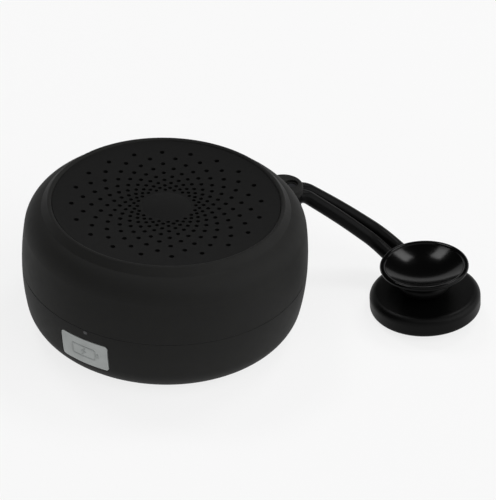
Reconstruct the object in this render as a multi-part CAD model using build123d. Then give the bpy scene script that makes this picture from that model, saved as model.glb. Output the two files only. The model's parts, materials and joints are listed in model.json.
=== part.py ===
from build123d import *
import os
from math import atan2, cos, degrees, pi, radians, sin, sqrt

# ---------------------------------------------------------------------------
# Shower speaker: a sealed puck with a perforated top, a charging port flap and
# a silicone strap that carries a double suction cup.
# Millimetres. +Z is up, the origin is the middle of the foot's resting face.
# Azimuths are measured from +X towards +Y.
# ---------------------------------------------------------------------------

# Puck outline
PUCK_R = 42.6  # widest radius, at the parting plane
PARTING_Z = 20.1
SHELL_BOTTOM_Z = 0.3  # the foot stands this proud of the lower shell
SHOULDER_Z = 39.6  # top of the upper shell's shoulder
UPPER_BARREL_R = 82.0
UPPER_CORNER_R = 8.1
LOWER_BARREL_R = 70.0
LOWER_CORNER_R = 9.3
WALL = 2.2
SEAL_THICK = 0.25
SEAL_DEPTH = 0.1  # how far the seal lies inside the puck's widest line
RIM_R = 34.3  # centre of the round bead about the grille
RIM_BEAD_R = 0.8
RIM_TOP_Z = 41.2
RIM_APRON_R = 36.6  # the shoulder slopes up to the bead from here

# Grille: rings of holes that shrink towards the middle
GRILLE_R = 33.4
GRILLE_Z = 40.0  # top of the plate at the outermost ring of holes
GRILLE_DISH = 1.3  # how much lower the middle lies
DISH_SPHERE_R = 291.0
GRILLE_THICK = 1.6
OUTER_RING_R = 27.8
RING_RATIO = 0.889
RING_COUNT = 11
HOLES_PER_RING = 20
FIRST_HOLE_AZ = 96.8
OUTER_HOLE_R = 0.75
INNER_HOLE_R = 0.58
DOME_R = 7.2
DOME_RISE = 0.9
SEAT_Z = 38.7  # the plate's rim rests here
MEMBRANE_R = 30.6
MEMBRANE_THICK = 0.25

# Loudspeaker, hung from the baffle
BAFFLE_BOTTOM_Z = 34.2
BAFFLE_THICK = 2.0
BAFFLE_HOLE_R = 21.8
FRONT_CAVITY_R = 31.0
GASKET_THICK = 0.8
FLANGE_R = 26.0
FLANGE_THICK = 1.2
FLANGE_TOP_Z = BAFFLE_BOTTOM_Z - GASKET_THICK
DRIVER_SCREW_R = 24.0
DRIVER_SCREW_AZ = [60.0 + 90.0 * i for i in range(4)]
DRIVER_PILOT_R = 0.8
DRIVER_SCREW_HOLE_R = 1.05
BASKET_HOLE_R = 10.2
BASKET_FLOOR_Z = 23.6
BASKET_SHEET = 1.2
TOP_PLATE_THICK = 2.4
MAGNET_THICK = 4.8
MAGNET_R = 18.5
YOKE_THICK = 2.6
POLE_R = 8.4
GAP_R = 9.7  # inner radius of the top plate
COIL_IN_R = 8.8
COIL_OUT_R = 9.35
CONE_R = 18.2

# Circuit board, battery and what holds them
FLOOR_Z = SHELL_BOTTOM_Z + WALL
BOARD_Z = 9.0
BOARD_THICK = 1.2
BOARD_TOP = BOARD_Z + BOARD_THICK
BOARD_R = 25.8
BATTERY_AZ = 60.0
BATTERY_SIZE = (46.0, 32.0, 5.2)
PAD_THICK = 0.8
BOARD_POST = (11.0, 19.5)  # from the middle, along and across the battery
BOARD_POST_R = 2.2
BOARD_PILOT_R = 0.85
BOARD_HOLE_R = 1.1

# Case screws
CASE_SCREW_R = 29.4
CASE_SCREW_AZ = [15.0 + 90.0 * i for i in range(4)]
POST_R = 3.4
HEAD_BORE_R = 2.35
HEAD_Z = 12.0
SHANK_HOLE_R = 1.5
CASE_PILOT_R = 1.1
CASE_PILOT_TOP_Z = 27.5

# Foot pad
FOOT_R = 32.2
FOOT_DEPTH = 0.8  # how far it is let into the lower shell

# Charging port and its flap
PORT_AZ = 240.5
PORT_Z = 11.7
FLAP_SIZE = (15.7, 9.2)
FLAP_THICK = 1.6
FLAP_GAP = 0.3
FLAP_CORNER_R = 1.0
POCKET_DEPTH = 1.95
HINGE_INSET = 1.0  # the hinge line stops this far short of the flap's ends
BEZEL_SIZE = (20.0, 11.6)
BEZEL_FACE_R = 38.0
BEZEL_BACK_R = 42.0
PORT_OPENING = (8.8, 3.7)
SOCKET_MOUTH_R = 39.0
SOCKET_SIZE = (7.5, 2.7)

# Status light above the flap, and microphone at the back
LED_AZ = 232.0  # beside the charging socket
WINDOW_AZ = 241.9
WINDOW_Z = 19.1
WINDOW_HOLE_R = 0.55
LIGHT_PIPE_R = 0.5
LIGHT_PIPE_IN_R = 36.6  # where its upright part stands
MIC_AZ = 115.0
MIC_Z = 18.0
MIC_HOLE_R = 0.5
MIC_R = 2.0
MIC_BOOT_R = 2.8

# Keys in the lower shell
KEY_Z = 11.7
KEY_AZ = {"volume_down": 130.0, "power": 150.0, "volume_up": 170.0}
KEY_R = 3.1
KEY_TIP_R = 42.75
KEY_WINDOW_R = 3.45
KEY_COLLAR_R = 3.9
KEY_STEM_R = 1.5
PLUNGER_R = 1.2

# Strap lug, a fork with a pin
PIN_POS = (36.9, 28.4)
PIN_R = 1.3
LUG_POS = (34.7, 28.3)
LUG_R = 5.8
LUG_TOP_Z = 30.9
LUG_SLOT_Z = (22.4, 28.1)
LUG_FOOT_Z = PARTING_Z + SEAL_THICK / 2
PIN_FOOT_Z = LUG_FOOT_Z + 0.6
PIN_MOUTH_R = 2.0
PIN_MOUTH_DEPTH = 0.7
PIN_CLEARANCE = 0.06

# Strap: two round strands side by side
STRAND_R = 2.05
KNUCKLE_R = 3.5
KNUCKLE_Z = (22.8, 27.7)
STRAP_ROUTE = [
    (36.5, 30.5, 25.25),  # beside the pin
    (41.0, 32.5, 25.5),  # shoulder, clear of the lug
    (53.0, 31.5, 19.0),  # halfway down the fall
    (65.0, 29.5, 12.0),  # landing beside the cup
    (71.5, 23.5, 9.5),  # turn towards the cup's neck
    (75.5, 15.0, 10.0),  # where the loop begins
]
STRAND_OFFSET = 2.15  # each strand's distance from the route, at both ends
STRAND_BOW = 0.6  # how much farther apart they stand halfway
BEND_AT = 0.4  # where the strap flexes, along the route's second run
BEND_STOP = 2.8  # the knuckle's strands end this far before it

# Suction cup, leaning because the strap lifts one side
CUP_AT = (80.0, 7.7)
CUP_LEAN = (-0.12, 0.03)
CUP_BASE_R = 17.0
CUP_EDGE_R = 1.2  # round of the base's lower edge
CUP_TOP_EDGE_R = 2.2
CUP_BASE_THICK = 6.2
CUP_NECK_R = 3.8
CUP_NECK_Z = (6.5, 11.4)
BOWL_R = 13.5
BOWL_TOP = 15.6
BOWL_DEPTH = 3.45
BOWL_EDGE = 1.5  # height of its outer edge
BOWL_LIP_R = 11.8
LOOP_R = 6.3
LOOP_SECTION_R = 2.05

os.makedirs("parts", exist_ok=True)


# ---------------------------------------------------------------------------
# Helpers
# ---------------------------------------------------------------------------
def save(name, shape):
    export_step(shape, f"parts/{name}.step")


def group(solids):
    return Compound(children=list(solids))


def polar(radius, azimuth, z=0.0):
    a = radians(azimuth)
    return Vector(radius * cos(a), radius * sin(a), z)


def radial_plane(azimuth, z, radius=0.0):
    """A plane that faces outwards: local x runs along the rim, local y up."""
    out = polar(1.0, azimuth)
    return Plane(origin=polar(radius, azimuth, z), x_dir=(-out.Y, out.X, 0), z_dir=out)


def lathe(*edges):
    """Turn a closed outline, drawn as radius and height, about the Z axis."""
    return revolve(Plane.XZ * make_face(edges), Axis.Z)


def turned(points):
    return lathe(Polyline(*points, close=True))


def ring(inner, outer, z0, z1):
    body = Pos(0, 0, (z0 + z1) / 2) * Cylinder(outer, z1 - z0)
    if inner > 0:
        body -= Pos(0, 0, (z0 + z1) / 2) * Cylinder(inner, z1 - z0 + 1)
    return body


def post(x, y, radius, z0, z1):
    return Pos(x, y, (z0 + z1) / 2) * Cylinder(radius, z1 - z0)


def rod_out(azimuth, z, radius, r0, r1):
    """A round bar that points outwards, from radius r0 to r1."""
    plane = radial_plane(azimuth, z, (r0 + r1) / 2)
    return plane * Cylinder(radius, r1 - r0)


def block_out(azimuth, z, width, height, r0, r1, side=0.0):
    """A box that points outwards, side millimetres along the rim."""
    plane = radial_plane(azimuth, z, (r0 + r1) / 2)
    return plane * Pos(side, 0, 0) * Box(width, height, r1 - r0)


def half_outline(inset, upper):
    """Where the barrel arc and the corner arc of one half of the puck meet."""
    barrel = (UPPER_BARREL_R if upper else LOWER_BARREL_R) - inset
    corner = (UPPER_CORNER_R if upper else LOWER_CORNER_R) - inset
    sign = 1 if upper else -1
    end_z = SHOULDER_Z - inset if upper else SHELL_BOTTOM_Z + inset
    barrel_x = PUCK_R - inset - barrel
    corner_z = end_z - sign * corner
    rise = corner_z - PARTING_Z
    corner_x = barrel_x + sqrt((barrel - corner) ** 2 - rise**2)
    tilt = degrees(atan2(rise, corner_x - barrel_x))
    return barrel, corner, (barrel_x, PARTING_Z), (corner_x, corner_z), tilt, end_z


def puck(inset):
    """The puck's whole outline, moved inwards by inset, as a solid."""
    up_b, up_c, up_bc, up_cc, up_tilt, top = half_outline(inset, True)
    lo_b, lo_c, lo_bc, lo_cc, lo_tilt, bottom = half_outline(inset, False)
    return lathe(
        Line((0, bottom), (lo_cc[0], bottom)),
        CenterArc(lo_cc, lo_c, -90, 90 + lo_tilt),
        CenterArc(lo_bc, lo_b, lo_tilt, -lo_tilt),
        CenterArc(up_bc, up_b, 0, up_tilt),
        CenterArc(up_cc, up_c, up_tilt, 90 - up_tilt),
        Line((up_cc[0], top), (0, top)),
        Line((0, top), (0, bottom)),
    )


def screw(head_r, head_h, shank_r, length):
    """A cross-head screw that points up, its head's top at z = 0."""
    body = Pos(0, 0, head_h / 2) * Cylinder(head_r, head_h)
    body += Pos(0, 0, head_h + length / 2) * Cylinder(shank_r, length)
    slot = Box(head_r * 1.2, head_r * 0.3, head_h) + Box(head_r * 0.3, head_r * 1.2, head_h)
    return body - slot


def plate_top(radius):
    """Height of the grille's dished top, which is part of a large sphere."""
    return GRILLE_Z - GRILLE_DISH + DISH_SPHERE_R - sqrt(DISH_SPHERE_R**2 - radius**2)


def axis_arc(radius, centre_z, r0, r1, up):
    """An arc about a point on the Z axis, so that turning it makes part of a sphere."""
    sign = 1 if up else -1
    start = degrees(atan2(sign * sqrt(radius**2 - r0**2), r0))
    end = degrees(atan2(sign * sqrt(radius**2 - r1**2), r1))
    return CenterArc((0, centre_z), radius, start, end - start)


def cap_arc(rim_r, rim_z, apex_z):
    """An arc from a rim to its crown or dip on the Z axis."""
    rise = apex_z - rim_z
    radius = (rim_r**2 + rise**2) / (2 * abs(rise))
    centre_z = apex_z - radius if rise > 0 else apex_z + radius
    return axis_arc(radius, centre_z, rim_r, 0, rise > 0)


def unit(vector):
    return Vector(*vector).normalized()


OUTER = puck(0.0)
INNER = puck(WALL)
PORT_PLANE = radial_plane(PORT_AZ, PORT_Z)
FLAP_HINGE_SIDE = FLAP_SIZE[0] / 2


# ---------------------------------------------------------------------------
# Lower shell with its posts, pocket and windows
# ---------------------------------------------------------------------------
def slab(z0, z1):
    return Pos(0, 0, (z0 + z1) / 2) * Box(200, 200, z1 - z0)


def flap_outline(margin, deep):
    """The flap's rounded rectangle as a bar through the wall."""
    wide = FLAP_SIZE[0] + 2 * margin
    high = FLAP_SIZE[1] + 2 * margin
    sketch = RectangleRounded(wide, high, FLAP_CORNER_R + margin)
    return PORT_PLANE * Pos(0, 0, 34) * extrude(sketch, deep)


def battery_frame(along, across):
    return Rot(0, 0, BATTERY_AZ) * Pos(along, across, 0)


def charging_bezel():
    """The thick wall behind the flap that carries the port."""
    return block_out(PORT_AZ, PORT_Z, *BEZEL_SIZE, BEZEL_FACE_R, BEZEL_BACK_R) & OUTER


def surface_radius(z):
    """The lower shell's outer radius at a height."""
    barrel, corner, barrel_c, corner_c, tilt, _ = half_outline(0.0, False)
    tangent_z = barrel_c[1] + barrel * sin(radians(tilt))
    if z >= tangent_z:
        return barrel_c[0] + sqrt(barrel**2 - (z - barrel_c[1]) ** 2)
    return corner_c[0] + sqrt(corner**2 - (z - corner_c[1]) ** 2)


def hinge_point(z):
    """The hinge line's place, in the port plane's own axes: on the flap's outer skin."""
    out = sqrt(surface_radius(z) ** 2 - FLAP_HINGE_SIDE**2)
    return Vector(-FLAP_HINGE_SIDE, z - PORT_Z, out)


def flap_hinge_line():
    low = PORT_Z - FLAP_SIZE[1] / 2 + HINGE_INSET
    high = PORT_Z + FLAP_SIZE[1] / 2 - HINGE_INSET
    return [PORT_PLANE.from_local_coords(hinge_point(z)) for z in (low, high)]


def window_rod(radius, extra):
    """A bar from above the status LED to its window, and extra millimetres out."""
    start = polar(LIGHT_PIPE_IN_R, LED_AZ, WINDOW_Z)
    line = polar(PUCK_R, WINDOW_AZ, WINDOW_Z) - start
    length = line.length + extra
    return Plane(origin=start, z_dir=line) * Pos(0, 0, length / 2) * Cylinder(radius, length)


def board_posts():
    return [
        battery_frame(side_a * BOARD_POST[0], side_b * BOARD_POST[1]).position
        for side_a in (-1, 1)
        for side_b in (-1, 1)
    ]


def lower_shell():
    shell = (OUTER & slab(-1, PARTING_Z - SEAL_THICK / 2)) - INNER
    shell += charging_bezel()
    for azimuth in CASE_SCREW_AZ:
        at = polar(CASE_SCREW_R, azimuth)
        shell += post(at.X, at.Y, POST_R, FLOOR_Z - 1.0, PARTING_Z - SEAL_THICK / 2)
    for at in board_posts():
        shell += post(at.X, at.Y, BOARD_POST_R, FLOOR_Z - 1.0, BOARD_Z)
    # everything that is cut away
    recess_top = SHELL_BOTTOM_Z + FOOT_DEPTH
    shell -= ring(0, FOOT_R, -1, recess_top)
    for azimuth in CASE_SCREW_AZ:
        at = polar(CASE_SCREW_R, azimuth)
        shell -= post(at.X, at.Y, HEAD_BORE_R, recess_top - 0.5, HEAD_Z)
        shell -= post(at.X, at.Y, SHANK_HOLE_R, HEAD_Z - 1, PARTING_Z + 1)
    for at in board_posts():
        shell -= post(at.X, at.Y, BOARD_PILOT_R, FLOOR_Z + 1.0, BOARD_Z + 1)
    shell -= flap_outline(FLAP_GAP, 12) - puck(POCKET_DEPTH)
    shell -= block_out(PORT_AZ, PORT_Z - 0.15, *PORT_OPENING, 36.0, 43.0)
    for azimuth in KEY_AZ.values():
        shell -= rod_out(azimuth, KEY_Z, KEY_WINDOW_R, 36.0, 44.0)
    shell -= window_rod(WINDOW_HOLE_R, 2.0)
    shell -= rod_out(MIC_AZ, MIC_Z, MIC_HOLE_R, 36.0, 44.0)
    return shell


# ---------------------------------------------------------------------------
# Upper shell with baffle, grille seat, rim bead and strap lug
# ---------------------------------------------------------------------------
def lug_blade(z0, z1):
    """One blade of the fork: a round nose that runs back into the wall."""
    height = z1 - z0
    centre = Vector(*LUG_POS, (z0 + z1) / 2)
    azimuth = degrees(atan2(LUG_POS[1], LUG_POS[0]))
    nose = Pos(centre) * Cylinder(LUG_R, height)
    back = Pos(centre) * Rot(0, 0, azimuth) * Pos(-3.5, 0, 0) * Box(7.0, 2 * LUG_R, height)
    return nose + back


def rim_apron():
    """A cone from the bead's outer side down to the shoulder, so that no groove is left."""
    _, corner, _, corner_c, _, _ = half_outline(0.0, True)
    foot_z = corner_c[1] + sqrt(corner**2 - (RIM_APRON_R - corner_c[0]) ** 2)
    bead_z = RIM_TOP_Z - RIM_BEAD_R
    touch = Vector(RIM_R + RIM_BEAD_R * sin(pi / 3), bead_z + RIM_BEAD_R * cos(pi / 3))
    inside = (RIM_R, SHOULDER_Z - 1)
    return turned([(RIM_R, bead_z), (touch.X, touch.Y), (RIM_APRON_R, foot_z), inside])


def upper_shell():
    shell = OUTER & slab(PARTING_Z + SEAL_THICK / 2, 60)
    top_blade = lug_blade(LUG_SLOT_Z[1], LUG_TOP_Z)
    top_edges = top_blade.edges().filter_by(GeomType.CIRCLE).group_by(Axis.Z)[-1]
    top_blade = fillet(top_edges, 1.1)
    shell += top_blade
    shell += lug_blade(LUG_FOOT_Z, LUG_SLOT_Z[0])
    shell += Pos(0, 0, RIM_TOP_Z - RIM_BEAD_R) * Torus(RIM_R, RIM_BEAD_R)
    shell += ring(RIM_R - RIM_BEAD_R, RIM_R + 0.3, SHOULDER_Z - 1, RIM_TOP_Z - RIM_BEAD_R)
    shell += rim_apron()
    # the room behind the baffle, the cone's opening and the grille's seat
    shell -= INNER & slab(0, BAFFLE_BOTTOM_Z)
    shell -= ring(0, BAFFLE_HOLE_R, 20, 50)
    shell -= ring(0, FRONT_CAVITY_R, BAFFLE_BOTTOM_Z + BAFFLE_THICK, 50)
    shell -= ring(0, RIM_R - RIM_BEAD_R, SEAT_Z, 50)
    for azimuth in CASE_SCREW_AZ:
        at = polar(CASE_SCREW_R, azimuth)
        boss = post(at.X, at.Y, POST_R - 0.3, PARTING_Z + SEAL_THICK / 2, BAFFLE_BOTTOM_Z + 0.5)
        boss -= ring(0, FLANGE_R + 0.3, 30, BAFFLE_BOTTOM_Z)
        shell += boss
        shell -= post(at.X, at.Y, CASE_PILOT_R, 0, CASE_PILOT_TOP_Z)
    for azimuth in DRIVER_SCREW_AZ:
        at = polar(DRIVER_SCREW_R, azimuth)
        shell -= post(at.X, at.Y, DRIVER_PILOT_R, BAFFLE_BOTTOM_Z - 1, BAFFLE_BOTTOM_Z + 1.6)
    # the pin's bore and its sunk mouth
    shell -= post(*PIN_POS, PIN_R, PIN_FOOT_Z, LUG_TOP_Z + 1)
    shell -= post(*PIN_POS, PIN_MOUTH_R, LUG_TOP_Z - PIN_MOUTH_DEPTH, LUG_TOP_Z + 1)
    return shell


def case_screws():
    screws = []
    for azimuth in CASE_SCREW_AZ:
        at = polar(CASE_SCREW_R, azimuth, HEAD_Z - 1.6)
        screws.append(Pos(at) * screw(2.1, 1.6, 1.1, 14.5))
    return group(screws)


# ---------------------------------------------------------------------------
# Grille plate and the splash membrane behind it
# ---------------------------------------------------------------------------
def dish_arc(r0, r1, drop):
    centre_z = GRILLE_Z - GRILLE_DISH + DISH_SPHERE_R - drop
    return axis_arc(DISH_SPHERE_R, centre_z, r0, r1, False)


def grille_plate():
    under = MEMBRANE_R + 0.4
    plate = lathe(
        cap_arc(DOME_R, plate_top(DOME_R), plate_top(0) + DOME_RISE),
        dish_arc(DOME_R, GRILLE_R, 0.0),
        Line((GRILLE_R, plate_top(GRILLE_R)), (GRILLE_R, SEAT_Z)),
        Line((GRILLE_R, SEAT_Z), (under, SEAT_Z)),
        Line((under, SEAT_Z), (under, plate_top(under) - GRILLE_THICK)),
        dish_arc(under, 0.0, GRILLE_THICK),
        Line((0, plate_top(0) - GRILLE_THICK), (0, plate_top(0) + DOME_RISE)),
    )
    holes = []
    for k in range(RING_COUNT):
        ring_r = OUTER_RING_R * RING_RATIO**k
        hole_r = OUTER_HOLE_R + (INNER_HOLE_R - OUTER_HOLE_R) * k / (RING_COUNT - 1)
        for i in range(HOLES_PER_RING):
            azimuth = FIRST_HOLE_AZ + (i + 0.5 * (k % 2)) * 360 / HOLES_PER_RING
            at = polar(ring_r, azimuth)
            holes.append(post(at.X, at.Y, hole_r, 34, 44))
    return plate - holes


def splash_membrane():
    low = GRILLE_THICK + MEMBRANE_THICK
    return lathe(
        dish_arc(0.0, MEMBRANE_R, GRILLE_THICK),
        Line(
            (MEMBRANE_R, plate_top(MEMBRANE_R) - GRILLE_THICK),
            (MEMBRANE_R, plate_top(MEMBRANE_R) - low),
        ),
        dish_arc(MEMBRANE_R, 0.0, low),
        Line((0, plate_top(0) - low), (0, plate_top(0) - GRILLE_THICK)),
    )


# ---------------------------------------------------------------------------
# Loudspeaker
# ---------------------------------------------------------------------------
TOP_PLATE_Z = BASKET_FLOOR_Z - TOP_PLATE_THICK
MAGNET_Z = TOP_PLATE_Z - MAGNET_THICK
YOKE_Z = MAGNET_Z - YOKE_THICK
FLANGE_Z = FLANGE_TOP_Z - FLANGE_THICK


def driver_basket():
    wall_top = 22.1
    wall_bottom = 14.5
    basket = turned(
        [
            (20.6, FLANGE_TOP_Z),
            (FLANGE_R, FLANGE_TOP_Z),
            (FLANGE_R, FLANGE_Z),
            (wall_top, FLANGE_Z),
            (wall_bottom + BASKET_SHEET, BASKET_FLOOR_Z),
            (BASKET_HOLE_R, BASKET_FLOOR_Z),
            (BASKET_HOLE_R, BASKET_FLOOR_Z + BASKET_SHEET),
            (wall_bottom, BASKET_FLOOR_Z + BASKET_SHEET),
        ]
    )
    window = Pos(20, 0, (BASKET_FLOOR_Z + FLANGE_Z) / 2 + 0.4) * Box(16, 7.5, 5.2)
    for i in range(6):
        basket -= Rot(0, 0, 60 * i + 30) * window
    for azimuth in DRIVER_SCREW_AZ:
        at = polar(DRIVER_SCREW_R, azimuth)
        basket -= post(at.X, at.Y, DRIVER_SCREW_HOLE_R, FLANGE_Z - 1, FLANGE_TOP_Z + 1)
    return basket


def driver_screws():
    screws = []
    for azimuth in DRIVER_SCREW_AZ:
        at = polar(DRIVER_SCREW_R, azimuth, FLANGE_Z - 0.9)
        screws.append(Pos(at) * screw(1.7, 0.9, 0.8, 3.4))
    return group(screws)


def driver_gasket():
    gasket = ring(BAFFLE_HOLE_R, FLANGE_R - 0.2, FLANGE_TOP_Z, BAFFLE_BOTTOM_Z)
    for azimuth in DRIVER_SCREW_AZ:
        at = polar(DRIVER_SCREW_R, azimuth)
        gasket -= post(at.X, at.Y, DRIVER_SCREW_HOLE_R, FLANGE_TOP_Z - 1, BAFFLE_BOTTOM_Z + 1)
    return gasket


def driver_yoke():
    yoke = ring(0, MAGNET_R - 1.0, YOKE_Z, MAGNET_Z)
    yoke += ring(0, POLE_R, MAGNET_Z - 0.5, BASKET_FLOOR_Z)
    return yoke - ring(0, 2.5, YOKE_Z - 1, BASKET_FLOOR_Z + 1)


def voice_coil():
    former = ring(COIL_IN_R, COIL_IN_R + 0.3, 19.6, 28.6)
    winding = ring(COIL_IN_R + 0.3, COIL_OUT_R, 19.8, 24.0)
    return former + winding


def driver_cone():
    neck_r = COIL_IN_R + 0.32
    return turned(
        [
            (neck_r, 28.0),
            (neck_r, 28.6),
            (CONE_R, 33.6),
            (CONE_R, 33.0),
        ]
    )


def dust_cap():
    rim = COIL_IN_R + 0.2
    return lathe(
        cap_arc(rim, 28.6, 31.6),
        Line((rim, 28.6), (rim - 0.5, 28.6)),
        cap_arc(rim - 0.5, 28.6, 31.1),
        Line((0, 31.1), (0, 31.6)),
    )


def driver_surround():
    """A rubber half roll between the cone's edge and the flange."""
    inner = CONE_R + 0.35
    outer = BAFFLE_HOLE_R - 0.1
    middle = (inner + outer) / 2
    low = FLANGE_TOP_Z
    return lathe(
        ThreePointArc((inner, low), (middle, low + 1.9), (outer, low)),
        Line((outer, low), (outer - 0.5, low)),
        ThreePointArc((outer - 0.5, low), (middle, low + 1.4), (inner + 0.5, low)),
        Line((inner + 0.5, low), (inner, low)),
    )


def driver_spider():
    """A corrugated disc that centres the coil."""
    inner = COIL_OUT_R + 0.35
    outer = 14.3
    base = BASKET_FLOOR_Z + BASKET_SHEET
    step = (outer - inner) / 4
    top = [(inner + step * i, base + (0.7 if i % 2 else 0.3)) for i in range(5)]
    bottom = [(r, z - 0.3) for r, z in reversed(top)]
    return turned(top + bottom)


# ---------------------------------------------------------------------------
# Circuit board and what sits on it
# ---------------------------------------------------------------------------
def board_sector(az0, az1, outer):
    """A slice of a flat ring, used for the board's outward tongues."""
    a0, a1 = radians(az0), radians(az1)
    far = outer / cos((a1 - a0) / 2)
    tip = polar(far, (az0 + az1) / 2)
    corners = [(p.X, p.Y) for p in (polar(far, az0), tip, polar(far, az1))]
    face = make_face(Polyline((0, 0), *corners, close=True))
    wedge = Pos(0, 0, BOARD_Z) * extrude(face, BOARD_THICK)
    return wedge & ring(0, outer, BOARD_Z, BOARD_TOP)


def main_board():
    board = ring(0, BOARD_R, BOARD_Z, BOARD_TOP)
    board += board_sector(119, 181, 36.0)
    board += block_out(PORT_AZ, (BOARD_Z + BOARD_TOP) / 2, 18.0, BOARD_THICK, 20.0, 37.6)
    for azimuth in CASE_SCREW_AZ:
        at = polar(CASE_SCREW_R, azimuth)
        board -= post(at.X, at.Y, POST_R + 0.4, 0, 30)
    for at in board_posts():
        board -= post(at.X, at.Y, BOARD_HOLE_R, 0, 30)
    return board


def board_screws():
    head = 0.9
    upside_down = Rot(180, 0, 0) * screw(1.8, head, BOARD_PILOT_R, 4.2)
    return group(Pos(at.X, at.Y, BOARD_TOP + head) * upside_down for at in board_posts())


def charging_socket():
    middle = BOARD_TOP + SOCKET_SIZE[1] / 2
    socket = block_out(PORT_AZ, middle, *SOCKET_SIZE, 33.5, SOCKET_MOUTH_R)
    mouth = block_out(PORT_AZ, middle, 6.9, 1.95, 34.5, SOCKET_MOUTH_R + 1)
    blade = block_out(PORT_AZ, BOARD_TOP + 0.9, 3.6, 0.4, 34.0, SOCKET_MOUTH_R - 0.9)
    return socket - mouth + blade


def tact_switches():
    switches = []
    for azimuth in KEY_AZ.values():
        body = block_out(azimuth, BOARD_TOP + 1.6, 6.0, 3.2, 32.2, 35.7)
        switches.append(body - rod_out(azimuth, KEY_Z, 1.5, 33.9, 36.5))
    return group(switches)


def chip(azimuth, radius, size, turn=0.0):
    wide, deep, high = size
    at = polar(radius, azimuth, BOARD_TOP + high / 2)
    return Pos(at) * Rot(0, 0, azimuth + turn) * Box(deep, wide, high)


def capacitor():
    at = polar(22.6, 195, BOARD_TOP + 2.6)
    return Pos(at) * Cylinder(2.2, 5.2)


def status_led():
    return block_out(LED_AZ, BOARD_TOP + 0.35, 1.6, 0.7, 35.9, 37.3)


def light_pipe():
    foot = BOARD_TOP + 1.0
    top = WINDOW_Z + LIGHT_PIPE_R
    wide = 2 * LIGHT_PIPE_R
    pipe = window_rod(LIGHT_PIPE_R, 1.0)
    pipe += radial_plane(LED_AZ, (top + foot) / 2, LIGHT_PIPE_IN_R) * Box(wide, top - foot, wide)
    return pipe & OUTER


def microphone():
    return rod_out(MIC_AZ, MIC_Z, MIC_R, 36.3, 37.8)


def mic_boot():
    boot = rod_out(MIC_AZ, MIC_Z, MIC_BOOT_R, 36.1, 41.0)
    boot = boot & INNER & slab(0, PARTING_Z - SEAL_THICK / 2)
    boot -= rod_out(MIC_AZ, MIC_Z, MIC_R, 36.0, 37.8)
    return boot - rod_out(MIC_AZ, MIC_Z, MIC_HOLE_R, 36.0, 44.0)


def battery():
    long, wide, thick = BATTERY_SIZE
    low = FLOOR_Z + PAD_THICK
    cell = Pos(0, 0, low + thick / 2) * Box(long, wide, thick)
    cell = fillet(cell.edges().filter_by(Axis.X), 1.2)
    return Rot(0, 0, BATTERY_AZ) * cell


def battery_pad():
    long, wide, _ = BATTERY_SIZE
    pad = Box(long - 6, wide - 6, PAD_THICK)
    return Rot(0, 0, BATTERY_AZ) * Pos(0, 0, FLOOR_Z + PAD_THICK / 2) * pad


def battery_plug():
    return chip(BATTERY_AZ - 6, 22.0, (6.0, 4.0, 3.4))


# ---------------------------------------------------------------------------
# Keys: a cap, a collar that keeps it in its window, and a stem
# ---------------------------------------------------------------------------
def key(azimuth):
    cap = rod_out(azimuth, KEY_Z, KEY_R, 38.0, KEY_TIP_R)
    collar = rod_out(azimuth, KEY_Z, KEY_COLLAR_R, 38.0, 38.9)
    stem = rod_out(azimuth, KEY_Z, KEY_STEM_R, 36.6, 38.2)
    return cap + collar + stem


def switch_plunger(azimuth):
    return rod_out(azimuth, KEY_Z, PLUNGER_R, 34.6, 36.6)


# ---------------------------------------------------------------------------
# Charging flap: a curved plate with a plug
# ---------------------------------------------------------------------------
def charging_flap():
    plate = flap_outline(0.0, 12) & (OUTER - puck(FLAP_THICK))
    return plate + block_out(PORT_AZ, BOARD_TOP + SOCKET_SIZE[1] / 2, 6.0, 1.4, 38.2, 41.2)


# ---------------------------------------------------------------------------
# Strap: knuckle on the lug's pin, two strands, and a loop about the cup's neck
# ---------------------------------------------------------------------------
ROUTE = [Vector(*p) for p in STRAP_ROUTE]
CUP_AXIS = unit((*CUP_LEAN, 1.0))
CUP_LEAN_SINE = sqrt(1 - CUP_AXIS.Z**2)
CUP_LIFT = CUP_EDGE_R * (1 - CUP_AXIS.Z) + (CUP_BASE_R - CUP_EDGE_R) * CUP_LEAN_SINE
CUP_ORIGIN = Vector(*CUP_AT, CUP_LIFT)  # lifted so that the low side of its edge touches z = 0
LOOP_CENTRE = CUP_ORIGIN + CUP_AXIS * (sum(CUP_NECK_Z) / 2)
BEND_POINT = ROUTE[1] + (ROUTE[2] - ROUTE[1]) * BEND_AT
BEND_DIRECTION = (ROUTE[2] - ROUTE[1]).normalized()
BEND_AXIS = Vector(-BEND_DIRECTION.Y, BEND_DIRECTION.X, 0).normalized()


def sideways(points, i):
    """The level direction to the left of the route at one of its points."""
    before = points[max(i - 1, 0)]
    after = points[min(i + 1, len(points) - 1)]
    along = after - before
    return Vector(-along.Y, along.X, 0).normalized()


def strand_offset(i):
    """Half the distance between the strands: they bow apart between shoulder and loop."""
    share = max(0, i - 1) / (len(ROUTE) - 2)
    return STRAND_OFFSET + STRAND_BOW * sin(pi * share)


def strand_points(side):
    """One strand's corners: the route moved sideways, ending on the loop."""
    points = [
        point + sideways(ROUTE, i) * (side * strand_offset(i)) for i, point in enumerate(ROUTE)
    ]
    end_side = sideways(ROUTE, len(ROUTE) - 1)
    flat = end_side - CUP_AXIS * end_side.dot(CUP_AXIS)
    points.append(LOOP_CENTRE + flat.normalized() * (side * LOOP_R))
    return points


def corner_radii(points):
    """Each corner's arc is as large as the two runs beside it allow."""
    radii = []
    for a, b, c in zip(points, points[1:], points[2:]):
        turn = radians((b - a).get_angle(c - b))
        shorter = min((b - a).length, (c - b).length)
        radii.append(0.45 * shorter / max(0.02, sin(turn / 2) / cos(turn / 2)))
    return radii


def tube(points, radius):
    path = FilletPolyline(*points, radius=corner_radii(points))
    start = Plane(origin=path @ 0, z_dir=path % 0)
    return sweep(start * Circle(radius), path=path)


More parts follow.
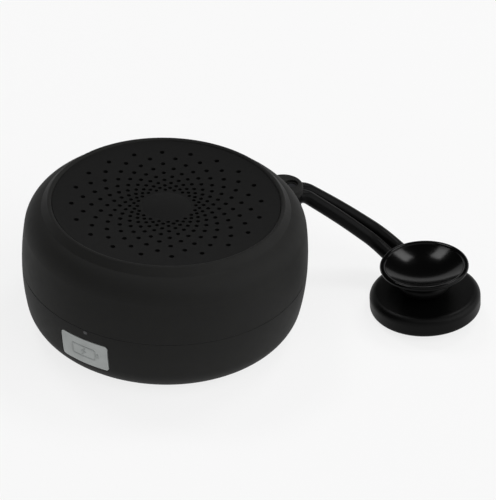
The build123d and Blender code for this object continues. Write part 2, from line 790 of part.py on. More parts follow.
def strap_knuckle():
    """The moulded end that turns on the pin, up to where the strap flexes."""
    z0, z1 = KNUCKLE_Z
    body = post(*PIN_POS, KNUCKLE_R, z0, z1)
    for side in (-1, 1):
        points = strand_points(side)[:3]
        end = points[1] + (points[2] - points[1]) * BEND_AT
        end -= (points[2] - points[1]).normalized() * BEND_STOP
        body += tube([points[0], points[1], end], STRAND_R)
        body += Pos(points[0]) * Cylinder(STRAND_R, 2 * STRAND_R)
    near, far = (strand_points(side)[0] for side in (-1, 1))
    middle = (near + far) * 0.5
    facing = degrees(atan2((far - near).Y, (far - near).X))
    body += Pos(middle) * Rot(0, 0, facing) * Box((far - near).length, 2 * STRAND_R, 2 * STRAND_R)
    body -= post(*PIN_POS, PIN_R + PIN_CLEARANCE, z0 - 1, z1 + 1)
    return body


def strap_loop():
    """Both strands from the flex point on, joined to the loop."""
    eye = ring(LOOP_R - LOOP_SECTION_R, LOOP_R + LOOP_SECTION_R, -LOOP_SECTION_R, LOOP_SECTION_R)
    loop = Plane(origin=LOOP_CENTRE, z_dir=CUP_AXIS) * eye
    for side in (-1, 1):
        points = strand_points(side)
        start = points[1] + (points[2] - points[1]) * BEND_AT
        loop += tube([start] + points[2:], STRAND_R)
        loop += Pos(start) * Sphere(STRAND_R)
    neck_room = Pos(0, 0, sum(CUP_NECK_Z) / 2) * Cylinder(LOOP_R - LOOP_SECTION_R, 12)
    return loop - Plane(origin=CUP_ORIGIN, z_dir=CUP_AXIS) * neck_room


# ---------------------------------------------------------------------------
# Suction cup: a wide cup below, a neck, and a smaller cup that faces up
# ---------------------------------------------------------------------------
def suction_cup():
    low_edge, top_edge = CUP_EDGE_R, CUP_TOP_EDGE_R
    flat_r = CUP_BASE_R - low_edge
    shelf_r = CUP_BASE_R - top_edge
    top = CUP_BASE_THICK
    low, high = CUP_NECK_Z
    bowl_floor = BOWL_TOP - BOWL_DEPTH
    rim_in_r = BOWL_R - BOWL_EDGE / 2
    body = lathe(
        cap_arc(flat_r - 0.6, 0.0, 2.6),
        Line((flat_r - 0.6, 0.0), (flat_r, 0.0)),
        CenterArc((flat_r, low_edge), low_edge, -90, 90),
        Line((CUP_BASE_R, low_edge), (CUP_BASE_R, top - top_edge)),
        CenterArc((shelf_r, top - top_edge), top_edge, 0, 90),
        Line((shelf_r, top), (CUP_NECK_R, low)),
        Line((CUP_NECK_R, low), (CUP_NECK_R, high)),
        ThreePointArc((CUP_NECK_R, high), (8.4, bowl_floor), (rim_in_r, BOWL_TOP - BOWL_EDGE)),
        ThreePointArc(
            (rim_in_r, BOWL_TOP - BOWL_EDGE),
            (BOWL_R, BOWL_TOP - BOWL_EDGE / 2),
            (rim_in_r, BOWL_TOP),
        ),
        ThreePointArc(
            (rim_in_r, BOWL_TOP),
            (BOWL_R - 1.3, BOWL_TOP - 0.15),
            (BOWL_LIP_R, BOWL_TOP - 0.5),
        ),
        cap_arc(BOWL_LIP_R, BOWL_TOP - 0.5, bowl_floor),
        Line((0, bowl_floor), (0, 2.6)),
    )
    return Plane(origin=CUP_ORIGIN, z_dir=CUP_AXIS) * body


def foot_pad():
    return ring(0, FOOT_R - 0.1, 0.0, SHELL_BOTTOM_Z + FOOT_DEPTH)


def case_seal():
    half = SEAL_THICK / 2
    return ring(PUCK_R - WALL + 0.1, PUCK_R - SEAL_DEPTH, PARTING_Z - half, PARTING_Z + half)


def lug_pin():
    return post(*PIN_POS, PIN_R, PIN_FOOT_Z, LUG_TOP_Z - 0.9)


# ---------------------------------------------------------------------------
# Write every piece
# ---------------------------------------------------------------------------
PARTS = {
    "lower_shell": lower_shell,
    "upper_shell": upper_shell,
    "foot_pad": foot_pad,
    "case_seal": case_seal,
    "case_screws": case_screws,
    "grille_plate": grille_plate,
    "splash_membrane": splash_membrane,
    "driver_basket": driver_basket,
    "driver_screws": driver_screws,
    "driver_gasket": driver_gasket,
    "driver_top_plate": lambda: ring(GAP_R, MAGNET_R - 1.5, TOP_PLATE_Z, BASKET_FLOOR_Z),
    "driver_magnet": lambda: ring(GAP_R + 1.6, MAGNET_R, MAGNET_Z, TOP_PLATE_Z),
    "driver_yoke": driver_yoke,
    "voice_coil": voice_coil,
    "driver_cone": driver_cone,
    "dust_cap": dust_cap,
    "driver_surround": driver_surround,
    "driver_spider": driver_spider,
    "main_board": main_board,
    "board_screws": board_screws,
    "charging_socket": charging_socket,
    "tact_switches": tact_switches,
    "radio_module": lambda: chip(330, 21.0, (12.0, 7.0, 2.4)),
    "amplifier_chip": lambda: chip(30, 21.5, (5.0, 5.0, 1.0)),
    "capacitor": capacitor,
    "status_led": status_led,
    "light_pipe": light_pipe,
    "microphone": microphone,
    "mic_boot": mic_boot,
    "battery": battery,
    "battery_pad": battery_pad,
    "battery_plug": battery_plug,
    "charging_flap": charging_flap,
    "lug_pin": lug_pin,
    "strap_knuckle": strap_knuckle,
    "strap_loop": strap_loop,
    "suction_cup": suction_cup,
}
for key_name, key_az in KEY_AZ.items():
    save(f"key_{key_name}", key(key_az))
    save(f"plunger_{key_name}", switch_plunger(key_az))
for part_name, make in PARTS.items():
    save(part_name, make())

print("bend point", BEND_POINT, "axis", BEND_AXIS)
print("flap hinge", flap_hinge_line())
print("cup origin", CUP_ORIGIN, "axis", CUP_AXIS)
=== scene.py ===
"""Looks for the shower speaker: studio, finishes, the strap's smooth skin and the raised marks.

Metres, in the part's own frame. Local sketches are in millimetres and are named so.
"""
import json
from math import atan2, cos, pi, radians, sin, sqrt

import bmesh
import bpy
from mathutils import Matrix, Vector


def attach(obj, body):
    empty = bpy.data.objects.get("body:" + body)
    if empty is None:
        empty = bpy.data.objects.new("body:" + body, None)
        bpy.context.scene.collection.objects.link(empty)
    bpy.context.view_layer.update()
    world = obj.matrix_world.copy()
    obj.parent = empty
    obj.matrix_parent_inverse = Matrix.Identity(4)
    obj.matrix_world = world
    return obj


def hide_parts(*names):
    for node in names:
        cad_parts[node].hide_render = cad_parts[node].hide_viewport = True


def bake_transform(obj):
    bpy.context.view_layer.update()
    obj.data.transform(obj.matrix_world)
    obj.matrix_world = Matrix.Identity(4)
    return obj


MM = 0.001

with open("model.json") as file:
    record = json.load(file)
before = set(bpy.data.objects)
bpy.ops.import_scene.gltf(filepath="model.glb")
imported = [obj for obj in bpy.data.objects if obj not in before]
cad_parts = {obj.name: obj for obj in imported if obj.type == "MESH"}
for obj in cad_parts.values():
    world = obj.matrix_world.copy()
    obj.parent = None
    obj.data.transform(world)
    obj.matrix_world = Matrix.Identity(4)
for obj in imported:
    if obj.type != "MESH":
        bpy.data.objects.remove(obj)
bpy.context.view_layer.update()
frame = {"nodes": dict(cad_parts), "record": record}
nodes = frame["nodes"]


# ---------------------------------------------------------------------------
# Camera
# ---------------------------------------------------------------------------
VIEW_ELEVATION = radians(34.6)
VIEW_ROLL = radians(3.1)
VIEW_DISTANCE = 0.522
VIEW_ASIDE = 0.0238  # how far the camera stands right of the puck's middle
VIEW_BELOW = 0.014
AIM_HEIGHT = 0.040
LENS = 128.4


def place_camera():
    tilt_up = Vector((0, sin(VIEW_ELEVATION), cos(VIEW_ELEVATION)))
    level = Vector((1, 0, 0))
    right = level * cos(VIEW_ROLL) + tilt_up * sin(VIEW_ROLL)
    up = tilt_up * cos(VIEW_ROLL) - level * sin(VIEW_ROLL)
    ahead = Vector((0, cos(VIEW_ELEVATION), -sin(VIEW_ELEVATION)))
    place = Vector((0, 0, AIM_HEIGHT)) + right * VIEW_ASIDE - up * VIEW_BELOW - ahead * VIEW_DISTANCE
    data = bpy.data.cameras.new("camera")
    data.lens = LENS
    data.sensor_width = 36.0
    data.clip_start = 0.01
    camera = bpy.data.objects.new("camera", data)
    bpy.context.scene.collection.objects.link(camera)
    turn = Matrix((right, up, -ahead)).transposed().to_4x4()
    camera.matrix_world = Matrix.Translation(place) @ turn
    bpy.context.scene.camera = camera


place_camera()


# ---------------------------------------------------------------------------
# Suction cup: where it stands and leans, for its finish and for the strap's loop
# ---------------------------------------------------------------------------
CUP_FOOT = Vector((80.0, 7.7, 1.95)) * MM
CUP_AXIS = Vector((-0.12, 0.03, 1.0)).normalized()
CUP_MATT_TO = 7.5 * MM  # heights along the cup's axis: matt up to here
CUP_SHINE_FROM = 11.5 * MM
CUP_MATT = 0.42
CUP_SHINE = 0.15


# ---------------------------------------------------------------------------
# Materials
# ---------------------------------------------------------------------------
class Finish:
    """A material under construction: its shader and the few nodes that feed it."""

    def __init__(self, name, color, roughness, **sockets):
        self.material = bpy.data.materials.new(name)
        self.material.use_nodes = True
        self.tree = self.material.node_tree
        self.shader = self.tree.nodes["Principled BSDF"]
        self.color = (*color[:3], 1.0)
        self.roughness = roughness
        self.shader.inputs["Base Color"].default_value = self.color
        self.shader.inputs["Roughness"].default_value = roughness
        for socket, value in sockets.items():
            self.shader.inputs[socket.replace("_", " ")].default_value = value
        self.coords = self.node("ShaderNodeTexCoord").outputs["Object"]
        self.height = None

    def node(self, kind, **settings):
        made = self.tree.nodes.new(kind)
        for key, value in settings.items():
            setattr(made, key, value)
        return made

    def link(self, source, target):
        self.tree.links.new(source, target)

    def mapped(self, stretch):
        mapping = self.node("ShaderNodeMapping")
        mapping.inputs["Scale"].default_value = stretch
        self.link(self.coords, mapping.inputs["Vector"])
        return mapping.outputs["Vector"]

    def noise(self, per_metre, detail=3.0, stretch=(1, 1, 1)):
        texture = self.node("ShaderNodeTexNoise")
        texture.inputs["Scale"].default_value = per_metre
        texture.inputs["Detail"].default_value = detail
        self.link(self.mapped(stretch), texture.inputs["Vector"])
        return texture.outputs["Fac"]

    def cells(self, per_metre, stretch=(1, 1, 1)):
        texture = self.node("ShaderNodeTexVoronoi")
        texture.inputs["Scale"].default_value = per_metre
        self.link(self.mapped(stretch), texture.inputs["Vector"])
        return texture.outputs["Distance"]

    def waves(self, per_metre, direction):
        texture = self.node("ShaderNodeTexWave", bands_direction=direction)
        texture.inputs["Scale"].default_value = per_metre
        self.link(self.coords, texture.inputs["Vector"])
        return texture.outputs["Fac"]

    def mottle(self, value, spread):
        """Colour varies about its mean by the given share."""
        ramp = self.node("ShaderNodeValToRGB")
        for stop, factor in zip(ramp.color_ramp.elements, (1 - spread, 1 + spread)):
            stop.color = (*[min(1.0, c * factor) for c in self.color[:3]], 1.0)
        self.link(value, ramp.inputs["Fac"])
        self.link(ramp.outputs["Color"], self.shader.inputs["Base Color"])
        return self

    def rough_from(self, value, low, high, first, last):
        """Roughness goes from first to last while a value goes from low to high."""
        span = self.node("ShaderNodeMapRange")
        span.inputs["From Min"].default_value = low
        span.inputs["From Max"].default_value = high
        span.inputs["To Min"].default_value = first
        span.inputs["To Max"].default_value = last
        self.link(value, span.inputs["Value"])
        self.link(span.outputs["Result"], self.shader.inputs["Roughness"])
        return self

    def patchy(self, value, spread):
        """Roughness varies about its mean."""
        return self.rough_from(value, 0.0, 1.0, self.roughness - spread, self.roughness + spread)

    def along(self, direction, start, end, first, last):
        """Roughness goes from first to last between two places along a direction."""
        reach = self.node("ShaderNodeVectorMath", operation="DOT_PRODUCT")
        reach.inputs[1].default_value = direction
        self.link(self.coords, reach.inputs[0])
        return self.rough_from(reach.outputs["Value"], start, end, first, last)

    def bump(self, value, depth, strength=0.5):
        """Each bump stacks on the one before it."""
        made = self.node("ShaderNodeBump")
        made.inputs["Distance"].default_value = depth
        made.inputs["Strength"].default_value = strength
        self.link(value, made.inputs["Height"])
        if self.height is not None:
            self.link(self.height, made.inputs["Normal"])
        self.height = made.outputs["Normal"]
        self.link(self.height, self.shader.inputs["Normal"])
        return self


def soft_touch(name, color, roughness, specular):
    """Spray-coated plastic: a fine even grain and faint larger patches."""
    made = Finish(name, color, roughness, Specular_IOR_Level=specular)
    made.mottle(made.noise(140, 4), 0.10).patchy(made.noise(420, 3), 0.05)
    return made.bump(made.noise(5200, 2), 0.00002, 0.35).bump(made.noise(700, 3), 0.00002, 0.15).material


def moulded(name, color, roughness, specular, grain=2600, depth=0.00001):
    """Moulded rubber or silicone: slow ripples and a little dust-like variation."""
    made = Finish(name, color, roughness, Specular_IOR_Level=specular)
    made.mottle(made.noise(260, 5), 0.18).patchy(made.noise(620, 4), 0.06)
    return made.bump(made.noise(grain, 3), depth, 0.3).material


def cup_rubber(name, color):
    """Matt at the base, with a shining bowl."""
    made = Finish(name, color, CUP_MATT, Specular_IOR_Level=0.085)
    foot = CUP_FOOT.dot(CUP_AXIS)
    made.along(CUP_AXIS, foot + CUP_MATT_TO, foot + CUP_SHINE_FROM, CUP_MATT, CUP_SHINE)
    return made.bump(made.noise(900, 3), 0.000006, 0.3).material


def metal(name, color, roughness, stretch=(1, 1, 14)):
    """Bare or plated metal, brushed along one direction where it is stretched."""
    made = Finish(name, color, roughness, Metallic=1.0)
    brushed = made.noise(900, 5, stretch)
    return made.mottle(brushed, 0.10).patchy(brushed, 0.08).bump(brushed, 0.000008, 0.4).material


def fibrous(name, color, roughness, per_metre):
    """Paper, cloth, foam or sintered grain: dull, with small cells."""
    made = Finish(name, color, roughness, Specular_IOR_Level=0.2, Sheen_Weight=0.15)
    woven = made.cells(per_metre)
    return made.mottle(made.noise(500, 5), 0.2).patchy(woven, 0.04).bump(woven, 0.00005, 0.5).material


def circuit(name, color):
    """Solder mask over raised traces."""
    made = Finish(name, color, 0.32, Coat_Weight=0.35)
    traces = made.waves(190, "DIAGONAL")
    return made.mottle(traces, 0.28).patchy(made.noise(900), 0.05).bump(traces, 0.00003, 0.3).material


def wound(name, color):
    """Wire turns, one above the other."""
    made = Finish(name, color, 0.28, Metallic=1.0)
    turns = made.waves(1400, "Z")
    return made.mottle(turns, 0.25).patchy(turns, 0.06).bump(turns, 0.00006, 0.6).material


def clear(name):
    """A dark, slightly translucent moulding that hides the light behind it."""
    made = Finish(name, (0.022, 0.023, 0.025), 0.45, Transmission_Weight=0.15, IOR=1.49)
    return made.patchy(made.noise(800), 0.03).material


BODY_BLACK = (0.0092, 0.0092, 0.0087)
# The grille is the same soft-touch coat as the shell; its colour is painted darker, as painted shade for
# the top face.
GRILLE_SHADED_BLACK = (0.0044, 0.0044, 0.0043)
FINISHES = {
    "shell": soft_touch("soft_touch_coat", BODY_BLACK, 0.62, 0.11),
    "grille": soft_touch("soft_touch_grille_shaded", GRILLE_SHADED_BLACK, 0.64, 0.09),
    "flap": moulded("grey_silicone", (0.32, 0.335, 0.33), 0.55, 0.3, 3000),
    "silicone": moulded("black_silicone", (0.0014, 0.0014, 0.0014), 0.38, 0.075),
    "cup_rubber": cup_rubber("cup_rubber", (0.0015, 0.0015, 0.0015)),
    "foot_rubber": moulded("foot_rubber", (0.018, 0.018, 0.018), 0.75, 0.3, 4200, 0.00004),
    "seal": moulded("seal_rubber", (0.008, 0.008, 0.008), 0.6, 0.3),
    "key_rubber": moulded("key_rubber", (0.014, 0.014, 0.014), 0.6, 0.34, 4200),
    "steel": metal("bright_steel", (0.56, 0.56, 0.57), 0.3),
    "stamped_steel": metal("black_zinc", (0.06, 0.06, 0.065), 0.42, (1, 1, 1)),
    "ferrite": fibrous("sintered_ferrite", (0.045, 0.045, 0.047), 0.7, 3200),
    "copper": wound("copper_winding", (0.72, 0.32, 0.16)),
    "cone": fibrous("pressed_fibre", (0.035, 0.035, 0.035), 0.8, 4200),
    "spider": fibrous("phenolic_cloth", (0.50, 0.36, 0.15), 0.8, 5200),
    "membrane": fibrous("fine_mesh", (0.004, 0.004, 0.004), 0.9, 6000),
    "board": circuit("solder_mask", (0.015, 0.13, 0.055)),
    "chip": moulded("moulded_epoxy", (0.018, 0.018, 0.018), 0.5, 0.4),
    "battery_wrap": metal("foil_pouch", (0.50, 0.52, 0.55), 0.35, (1, 1, 1)),
    "tape": fibrous("foam_tape", (0.06, 0.06, 0.06), 0.9, 2400),
    "clear": clear("clear_moulding"),
}
MARK_GREY = moulded("mark_grey", (0.255, 0.27, 0.265), 0.6, 0.3)
MARK_PALE = moulded("mark_pale", (0.16, 0.16, 0.16), 0.55, 0.35)


def dress(piece, material):
    """Put a material on every slot of a piece."""
    if not piece.data.materials:
        piece.data.materials.append(material)
    for i in range(len(piece.data.materials)):
        piece.data.materials[i] = material


for row in frame["record"]["subparts"]:
    dress(nodes[row["node"]], FINISHES[row["material_slot"]])


# ---------------------------------------------------------------------------
# Mesh helpers
# ---------------------------------------------------------------------------
def new_piece(name, verts, faces, material):
    mesh = bpy.data.meshes.new(name)
    mesh.from_pydata([tuple(v) for v in verts], [], faces)
    mesh.update()
    mesh.polygons.foreach_set("use_smooth", [True] * len(mesh.polygons))
    made = bpy.data.objects.new(name, mesh)
    bpy.context.scene.collection.objects.link(made)
    made.data.materials.append(material)
    return made


def grid_faces(rows, around, closed_rows=False):
    """Quads between rings of points, each ring joined to itself."""
    last = rows if closed_rows else rows - 1
    faces = []
    for i in range(last):
        for j in range(around):
            a = i * around + j
            b = i * around + (j + 1) % around
            shift = ((i + 1) % rows - i) * around
            faces.append((a, b, b + shift, a + shift))
    return faces


def face_outwards(piece):
    work = bmesh.new()
    work.from_mesh(piece.data)
    bmesh.ops.recalc_face_normals(work, faces=work.faces)
    work.to_mesh(piece.data)
    work.free()


# ---------------------------------------------------------------------------
# Strap: two strands, the eye on the lug's pin and the loop about the cup's neck
# ---------------------------------------------------------------------------
ROUTE = [
    Vector(p) * MM
    for p in (
        (36.5, 30.5, 25.25),
        (41.0, 32.5, 25.5),
        (53.0, 31.5, 19.0),
        (65.0, 29.5, 12.0),
        (71.5, 23.5, 9.5),
        (75.5, 15.0, 10.0),
    )
]
STRAND_R = 2.15 * MM  # smoothing takes about 0.1 off it
STRAND_OFFSET = 2.15 * MM
STRAND_BOW = 0.6 * MM  # the strands part a little between shoulder and loop
CORNER_SHARE = 0.45  # how much of the shorter run beside it a corner's curve takes
STRAND_SIDES = 28
BAR_SIDES = 24
BAR_REACH = 0.8  # how far the web runs past each strand's middle, in strand radii
BAR_HEIGHT = 0.95  # half its height, in strand radii
PIN_AT = Vector((36.9, 28.4, 0)) * MM
EYE_R = 3.45 * MM
EYE_BORE_R = 1.5 * MM
EYE_Z = (22.95 * MM, 27.55 * MM)
LOOP_CENTRE = CUP_FOOT + CUP_AXIS * (8.95 * MM)
LOOP_R = 6.3 * MM
LOOP_SECTION = (1.95 * MM, 1.95 * MM)  # across and along the cup's axis
SKIN_VOXEL = 0.2 * MM
RELAX_FACTOR = 0.5
RELAX_ROUNDS = 6


def sideways(i):
    along = ROUTE[min(i + 1, len(ROUTE) - 1)] - ROUTE[max(i - 1, 0)]
    return Vector((-along.y, along.x, 0)).normalized()


def strand_route(side):
    points = []
    for i, point in enumerate(ROUTE):
        share = max(0, i - 1) / (len(ROUTE) - 2)
        offset = STRAND_OFFSET + STRAND_BOW * sin(pi * share)
        points.append(point + sideways(i) * (side * offset))
    flat = sideways(len(ROUTE) - 1)
    flat -= CUP_AXIS * flat.dot(CUP_AXIS)
    points.append(LOOP_CENTRE + flat.normalized() * (side * LOOP_R))
    return points


def rounded_path(corners, steps=12):
    """Straight runs, with a smooth curve over each corner."""
    path = [corners[0]]
    for before, corner, after in zip(corners, corners[1:], corners[2:]):
        reach = CORNER_SHARE * min((corner - before).length, (after - corner).length)
        start = corner + (before - corner).normalized() * reach
        end = corner + (after - corner).normalized() * reach
        for k in range(steps + 1):
            t = k / steps
            path.append(start * (1 - t) ** 2 + corner * (2 * t * (1 - t)) + end * t**2)
    return path + [corners[-1]]


def strand(side):
    """A round tube with closed ends along one strand's path."""
    path = rounded_path(strand_route(side))
    verts = []
    normal = Vector((0, 0, 1))
    for i, point in enumerate(path):
        along = (path[min(i + 1, len(path) - 1)] - path[max(i - 1, 0)]).normalized()
        normal = (normal - along * normal.dot(along)).normalized()
        across = along.cross(normal)
        for j in range(STRAND_SIDES):
            a = 2 * pi * j / STRAND_SIDES
            verts.append(point + (normal * cos(a) + across * sin(a)) * STRAND_R)
    faces = grid_faces(len(path), STRAND_SIDES)
    faces.append(tuple(reversed(range(STRAND_SIDES))))
    faces.append(tuple(range(len(verts) - STRAND_SIDES, len(verts))))
    return verts, faces


def turned_ring(section, frame_matrix, sides=72):
    """A closed section, given as radius and height, turned into a ring."""
    verts = []
    for i in range(sides):
        a = 2 * pi * i / sides
        verts += [frame_matrix @ Vector((r * cos(a), r * sin(a), z)) for r, z in section]
    return verts, grid_faces(sides, len(section), closed_rows=True)


def rounded_section(middle_r, middle_z, half_r, half_z, power, count=32):
    """A ring's section between an ellipse (power 1) and a rectangle (power towards 0)."""
    section = []
    for k in range(count):
        c, s = cos(2 * pi * k / count), sin(2 * pi * k / count)
        section.append((
            middle_r + half_r * abs(c) ** power * (1 if c > 0 else -1),
            middle_z + half_z * abs(s) ** power * (1 if s > 0 else -1),
        ))
    return section


def cross_bar():
    """The moulded web that joins the strands' roots to the eye."""
    near, far = strand_route(-1)[0], strand_route(1)[0]
    middle = (near + far) / 2
    across = (far - near).normalized()
    turn = Matrix((across, Vector((0, 0, 1)).cross(across), Vector((0, 0, 1)))).transposed().to_4x4()
    place = Matrix.Translation(middle) @ turn
    half_x = (far - near).length / 2 + STRAND_R * BAR_REACH
    half_z = STRAND_R * BAR_HEIGHT
    verts = []
    for x in (-half_x, half_x):
        for k in range(BAR_SIDES):
            a = 2 * pi * k / BAR_SIDES
            verts.append(place @ Vector((x, half_z * cos(a), half_z * sin(a))))
    ends = [tuple(reversed(range(BAR_SIDES))), tuple(range(BAR_SIDES, 2 * BAR_SIDES))]
    return verts, grid_faces(2, BAR_SIDES) + ends


def strap_skin():
    """The strap's forms, melted into one smooth skin."""
    eye_half = (EYE_Z[1] - EYE_Z[0]) / 2
    eye_section = rounded_section(
        (EYE_R + EYE_BORE_R) / 2, sum(EYE_Z) / 2, (EYE_R - EYE_BORE_R) / 2, eye_half, 0.35
    )
    loop_section = rounded_section(LOOP_R, 0.0, *LOOP_SECTION, 0.85)
    loop_frame = Matrix.Translation(LOOP_CENTRE) @ CUP_AXIS.to_track_quat("Z", "Y").to_matrix().to_4x4()
    forms = [
        strand(-1),
        strand(1),
        cross_bar(),
        turned_ring(eye_section, Matrix.Translation(PIN_AT)),
        turned_ring(loop_section, loop_frame),
    ]
    verts, faces = [], []
    for form_verts, form_faces in forms:
        faces += [tuple(i + len(verts) for i in face) for face in form_faces]
        verts += form_verts
    rough = new_piece("strap_rough", verts, faces, FINISHES["silicone"])
    face_outwards(rough)
    remesh = rough.modifiers.new("remesh", "REMESH")
    remesh.mode = "VOXEL"
    remesh.voxel_size = SKIN_VOXEL
    remesh.use_smooth_shade = True
    relax = rough.modifiers.new("relax", "SMOOTH")
    relax.factor = RELAX_FACTOR
    relax.iterations = RELAX_ROUNDS
    bpy.context.view_layer.update()
    done = rough.evaluated_get(bpy.context.evaluated_depsgraph_get())
    mesh = bpy.data.meshes.new_from_object(done)
    bpy.data.objects.remove(rough)
    mesh.name = "strap_skin"
    mesh.polygons.foreach_set("use_smooth", [True] * len(mesh.polygons))
    skin = bpy.data.objects.new("strap_skin", mesh)
    bpy.context.scene.collection.objects.link(skin)
    dress(skin, FINISHES["silicone"])
    return skin


skin = strap_skin()
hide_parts("strap_knuckle", "strap_loop")
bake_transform(skin)


# ---------------------------------------------------------------------------
# Raised marks: a charging sign on the flap and signs on the keys
# ---------------------------------------------------------------------------
PORT_AZ = radians(240.5)
PORT_Z_MM = 11.7
PUCK_R_MM = 42.6
PARTING_Z_MM = 20.1
BARREL_R_MM = 70.0  # the lower shell's side, as an arc
KEY_AZ = {"volume_down": radians(130), "power": radians(150), "volume_up": radians(170)}
KEY_TIP_MM = 42.75
KEY_Z_MM = 11.7
LINE_WIDE_MM = 0.55
LINE_PROUD_MM = 0.12
LINE_SUNK_MM = 0.1


def shell_radius_mm(z):
    """The lower shell's outer radius at a height, on its barrel arc."""
    return PUCK_R_MM - BARREL_R_MM + sqrt(BARREL_R_MM**2 - (z - PARTING_Z_MM) ** 2)


def on_flap(x, y, out):
    """A point on the flap's face from local millimetres, out above it."""
    z = PORT_Z_MM + y
    radius = sqrt(shell_radius_mm(z) ** 2 - x**2) + out
    aside = Vector((-sin(PORT_AZ), cos(PORT_AZ), 0))
    outwards = Vector((cos(PORT_AZ), sin(PORT_AZ), 0))
    return (outwards * radius + aside * x + Vector((0, 0, z))) * MM


def on_key(azimuth):
    """Gives the function that places a point on one key's flat tip."""
    aside = Vector((-sin(azimuth), cos(azimuth), 0))
    outwards = Vector((cos(azimuth), sin(azimuth), 0))

    def place(x, y, out):
        return (outwards * (KEY_TIP_MM + out) + aside * x + Vector((0, 0, KEY_Z_MM + y))) * MM

    return place


def divided(points, closed, longest=0.4):
    """More points along the runs, so that a line follows a curved face."""
    ends = points[1:] + points[:1] if closed else points[1:]
    fine = []
    for (x0, y0), (x1, y1) in zip(points, ends):
        count = max(1, round(sqrt((x1 - x0) ** 2 + (y1 - y0) ** 2) / longest))
        fine += [(x0 + (x1 - x0) * k / count, y0 + (y1 - y0) * k / count) for k in range(count)]
    return fine if closed else fine + [points[-1]]


def raised_line(points, place, closed):
    """A low round-topped bead along a line, as vertices and faces."""
    points = divided(points, closed)
    count = len(points)
    # across the line and above the face, as shares of half the width and of the height
    section = [(-1, -1), (-0.85, 0.75), (-0.45, 1), (0.45, 1), (0.85, 0.75), (1, -1)]
    verts = []
    for i, (x, y) in enumerate(points):
        before = points[(i - 1) % count] if closed or i > 0 else points[i]
        after = points[(i + 1) % count] if closed or i < count - 1 else points[i]
        way = atan2(after[1] - before[1], after[0] - before[0])
        for across, rise in section:
            off = across * LINE_WIDE_MM / 2
            height = LINE_PROUD_MM * rise if rise > 0 else -LINE_SUNK_MM
            verts.append(place(x - sin(way) * off, y + cos(way) * off, height))
    size = len(section)
    faces = grid_faces(count, size, closed_rows=closed)
    if not closed:
        faces += [tuple(reversed(range(size))), tuple(range(len(verts) - size, len(verts)))]
    return verts, faces


def mark(name, lines, place, body, material):
    """One sign, made of raised lines, that moves with a body."""
    verts, faces = [], []
    for points, closed in lines:
        line_verts, line_faces = raised_line(points, place, closed)
        faces += [tuple(i + len(verts) for i in face) for face in line_faces]
        verts += line_verts
    made = new_piece(name, verts, faces, material)
    face_outwards(made)
    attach(made, body)


def arc_points(radius, start, end, count=20, x=0.0, y=0.0):
    angles = [radians(start + (end - start) * k / count) for k in range(count + 1)]
    return [(x + radius * cos(a), y + radius * sin(a)) for a in angles]


def rounded_box(half_x, half_y, corner):
    outline = []
    for sx, sy, start in ((1, 1, 0), (-1, 1, 90), (-1, -1, 180), (1, -1, 270)):
        outline += arc_points(corner, start, start + 90, 5, sx * (half_x - corner), sy * (half_y - corner))
    return outline


BATTERY_SIGN = [
    (rounded_box(3.9, 1.9, 0.7), True),
    ([(4.75, -0.75), (4.75, 0.75)], False),
    ([(0.5, 1.15), (-0.75, -0.1), (0.75, 0.1), (-0.5, -1.15)], False),
]
KEY_SIGNS = {
    "volume_down": [([(-1.3, 0), (1.3, 0)], False)],
    "volume_up": [([(-1.3, 0), (1.3, 0)], False), ([(0, -1.3), (0, 1.3)], False)],
    "power": [(arc_points(1.3, 125, 415), False), ([(0, 0.35), (0, 1.65)], False)],
}
mark("charging_sign", BATTERY_SIGN, on_flap, "flap", MARK_GREY)
for key, lines in KEY_SIGNS.items():
    mark(f"sign_{key}", lines, on_key(KEY_AZ[key]), f"{key}_key", MARK_PALE)


# ---------------------------------------------------------------------------
# Studio: a pale floor that turns up at its far edge, two soft boxes and fills
# ---------------------------------------------------------------------------
FLOOR_R = 1.5
FLOOR_TURN_R = 0.4
FLOOR_WALL = 0.25
FLOOR_RINGS = (0.02, 0.3, 0.8)
FLOOR_TURN_STEPS = 8
FLOOR_SIDES = 96
PAPER_COLOR = (0.14, 0.14, 0.14)
LAMP_AIM = Vector((0.03, 0.0, 0.02))
WORLD_LEVEL = 0.04
PAPER_GLOW = 0.80  # the paper is lit from behind too, so shadows stay weak


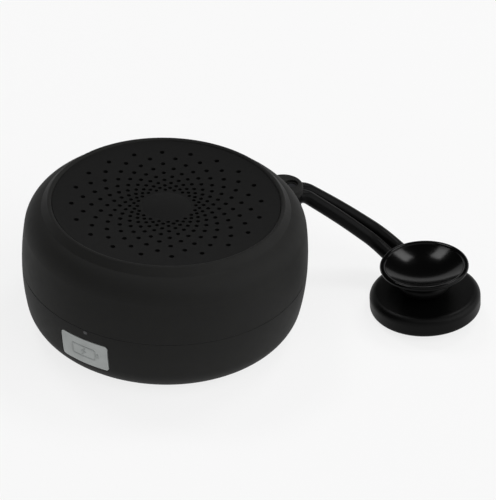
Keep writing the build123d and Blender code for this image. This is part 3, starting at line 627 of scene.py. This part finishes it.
def build_floor():
    profile = [(r, 0.0) for r in (*FLOOR_RINGS, FLOOR_R)]
    for k in range(1, FLOOR_TURN_STEPS + 1):
        a = pi / 2 * k / FLOOR_TURN_STEPS
        profile.append((FLOOR_R + FLOOR_TURN_R * sin(a), FLOOR_TURN_R * (1 - cos(a))))
    profile.append((FLOOR_R + FLOOR_TURN_R, FLOOR_TURN_R + FLOOR_WALL))
    verts = [
        (r * cos(2 * pi * j / FLOOR_SIDES), r * sin(2 * pi * j / FLOOR_SIDES), z)
        for r, z in profile
        for j in range(FLOOR_SIDES)
    ]
    faces = grid_faces(len(profile), FLOOR_SIDES) + [tuple(range(FLOOR_SIDES))]
    paper = Finish(
        "studio_paper",
        PAPER_COLOR,
        0.9,
        Specular_IOR_Level=0.0,
        Emission_Color=(1, 1, 1, 1),
        Emission_Strength=PAPER_GLOW,
    )
    floor = new_piece("studio_floor", verts, faces, paper.mottle(paper.noise(3, 2), 0.004).material)


def soft_box(name, azimuth, elevation, distance, size, power):
    """A lamp that faces the object, placed by two angles in degrees and a distance."""
    a, e = radians(azimuth), radians(elevation)
    away = Vector((cos(e) * cos(a), cos(e) * sin(a), sin(e)))
    data = bpy.data.lights.new(name, "AREA")
    data.shape = "RECTANGLE"
    data.size, data.size_y = size
    data.energy = power
    lamp = bpy.data.objects.new(name, data)
    bpy.context.scene.collection.objects.link(lamp)
    facing = away.to_track_quat("Z", "Y").to_matrix().to_4x4()
    lamp.matrix_world = Matrix.Translation(LAMP_AIM + away * distance) @ facing


build_floor()
soft_box("box_right", 54, 58, 1.3, (0.36, 0.30), 4.0)
soft_box("box_left", 131, 58, 1.3, (0.36, 0.30), 4.0)
soft_box("fill_front", -90, 62, 2.0, (2.4, 1.8), 14.0)
soft_box("fill_side", -12, 28, 1.8, (2.4, 1.6), 30.0)

world = bpy.data.worlds.new("studio")
world.use_nodes = True
world.node_tree.nodes["Background"].inputs["Color"].default_value = (1, 1, 1, 1)
world.node_tree.nodes["Background"].inputs["Strength"].default_value = WORLD_LEVEL
bpy.context.scene.world = world
bpy.context.scene.view_settings.view_transform = "Standard"
